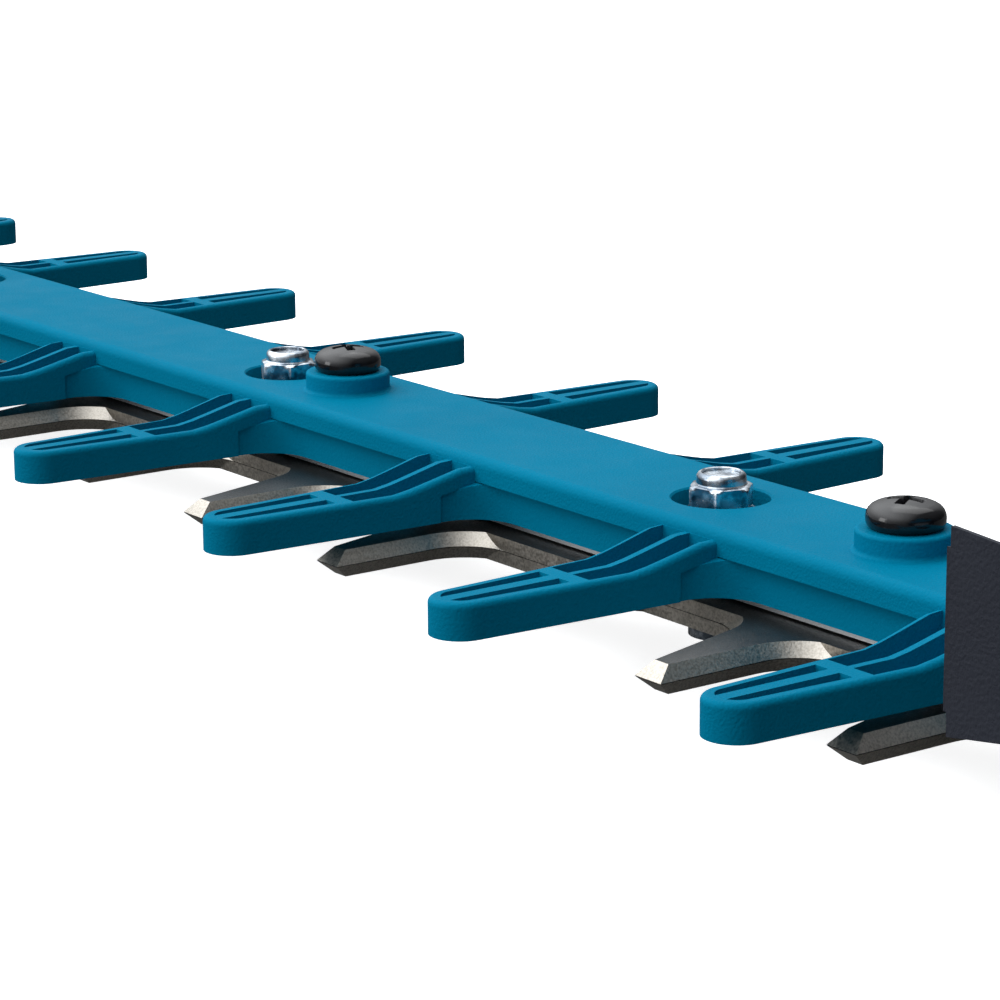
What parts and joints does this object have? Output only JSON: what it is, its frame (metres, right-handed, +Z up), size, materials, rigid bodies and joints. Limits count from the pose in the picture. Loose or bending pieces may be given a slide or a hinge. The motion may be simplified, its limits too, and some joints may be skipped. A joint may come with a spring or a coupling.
{
  "type": "hedge trimmer",
  "caption": "Cordless two-handed hedge trimmer with a twin shear blade under a finger-shaped plastic tooth guard, crank drive and slide-on battery pack.",
  "frame": {"origin": "centre of the rest pad on the standing surface, straight below the crank axis", "axes": "cutter bar points to -X, handles and battery to +X, +Z up"},
  "size_m": [0.9443, 0.191, 0.1815],
  "materials": {
    "teal_plastic": "fine moulded grain",
    "guide_steel": "satin, nickel plated",
    "blade_steel": "ground and sheared steel",
    "zinc_steel": "bright zinc",
    "black_screw": "gloss black",
    "cast_aluminium": "as cast",
    "charcoal_plastic": "fine moulded grain",
    "black_rubber": "soft grip",
    "dark_plastic": "satin",
    "red_plastic": "satin",
    "gear_steel": "machined",
    "copper": "copper windings and contacts",
    "cell_wrap": "shrink sleeve",
    "lens": "clear lens",
    "board": "circuit board"
  },
  "bodies": {
    "housing": {"tooth_guard": "teal_plastic", "housing_left": "teal_plastic", "housing_right": "teal_plastic", "guide_bar": "guide_steel", "blade_bolts": "zinc_steel", "bolt_sleeves": "zinc_steel", "blade_washers": "zinc_steel", "nut_spacers": "zinc_steel", "lock_nuts": "zinc_steel", "bar_root_screws": "zinc_steel", "case_screws": "zinc_steel", "bottom_cover_screws": "zinc_steel", "housing_screws": "zinc_steel", "front_handle_screws": "zinc_steel", "hand_guard_screws": "zinc_steel", "trigger_pin": "zinc_steel", "guard_screws": "black_screw", "gear_case": "cast_aluminium", "gear_case_cover": "cast_aluminium", "nose_shroud": "charcoal_plastic", "bottom_cover": "charcoal_plastic", "battery_mount": "charcoal_plastic", "hand_guard": "charcoal_plastic", "front_handle": "charcoal_plastic", "rear_grip": "black_rubber", "trigger_switch": "dark_plastic", "front_switch": "dark_plastic", "motor_end_cap": "dark_plastic", "crank_bearings": "gear_steel", "motor_bearings": "gear_steel", "motor_can": "gear_steel", "motor_stator": "copper", "battery_terminals": "copper", "indicator_lens": "lens", "controller_board": "board"},
    "crank": {"crank_gear": "gear_steel", "crank_shaft": "gear_steel", "upper_eccentric": "gear_steel", "lower_eccentric": "gear_steel"},
    "rotor": {"motor_shaft": "gear_steel", "rotor_core": "gear_steel", "pinion": "gear_steel", "cooling_fan": "dark_plastic"},
    "upper_shear": {"upper_blade": "blade_steel"},
    "lower_shear": {"lower_blade": "blade_steel"},
    "trigger_lever": {"trigger": "dark_plastic"},
    "lock_off": {"lock_off_button": "dark_plastic"},
    "front_lever": {"front_switch_lever": "dark_plastic"},
    "power_key": {"power_button": "dark_plastic"},
    "battery": {"battery_tray": "charcoal_plastic", "battery_lid": "charcoal_plastic", "battery_cells": "cell_wrap"},
    "release_key": {"battery_release": "red_plastic"}
  },
  "joints": [
    {"name": "crank_spin", "type": "hinge", "parent": "housing", "child": "crank", "pos_m": [0, 0, 0.03], "axis": [0, 0, 1], "continuous": true},
    {"name": "motor_spin", "type": "hinge", "parent": "housing", "child": "rotor", "pos_m": [0.035, 0, 0.06], "axis": [0, 0, 1], "continuous": true},
    {"name": "upper_blade_slide", "type": "slide", "parent": "housing", "child": "upper_shear", "axis": [1, 0, 0], "range_m": [-0.00875, 0.00875]},
    {"name": "lower_blade_slide", "type": "slide", "parent": "housing", "child": "lower_shear", "axis": [1, 0, 0], "range_m": [-0.00875, 0.00875]},
    {"name": "trigger_pull", "type": "hinge", "parent": "housing", "child": "trigger_lever", "pos_m": [0.182, 0, 0.136], "axis": [0, -1, 0], "range_deg": [0, 9], "stiffness_Nm_per_rad": 0.6, "springref_deg": -2.86},
    {"name": "lock_off_press", "type": "slide", "parent": "housing", "child": "lock_off", "axis": [0, 0, -1], "range_m": [0, 0.003], "stiffness_N_per_m": 600, "springref_m": -0.001},
    {"name": "front_lever_squeeze", "type": "slide", "parent": "housing", "child": "front_lever", "axis": [0, 0, 1], "range_m": [0, 0.0022], "stiffness_N_per_m": 1500, "springref_m": -0.001},
    {"name": "power_press", "type": "slide", "parent": "housing", "child": "power_key", "axis": [0, 0, -1], "range_m": [0, 0.0012], "stiffness_N_per_m": 600, "springref_m": -0.001},
    {"name": "battery_slide", "type": "slide", "parent": "housing", "child": "battery", "axis": [1, 0, 0], "range_m": [0, 0.095]},
    {"name": "release_press", "type": "slide", "parent": "battery", "child": "release_key", "axis": [0, 0, -1], "range_m": [0, 0.003], "stiffness_N_per_m": 600, "springref_m": -0.001}
  ],
  "couplings": [
    {"joint": "motor_spin", "follows": "crank_spin", "ratio": -6},
    {"joint": "lower_blade_slide", "follows": "upper_blade_slide", "ratio": -1}
  ]
}
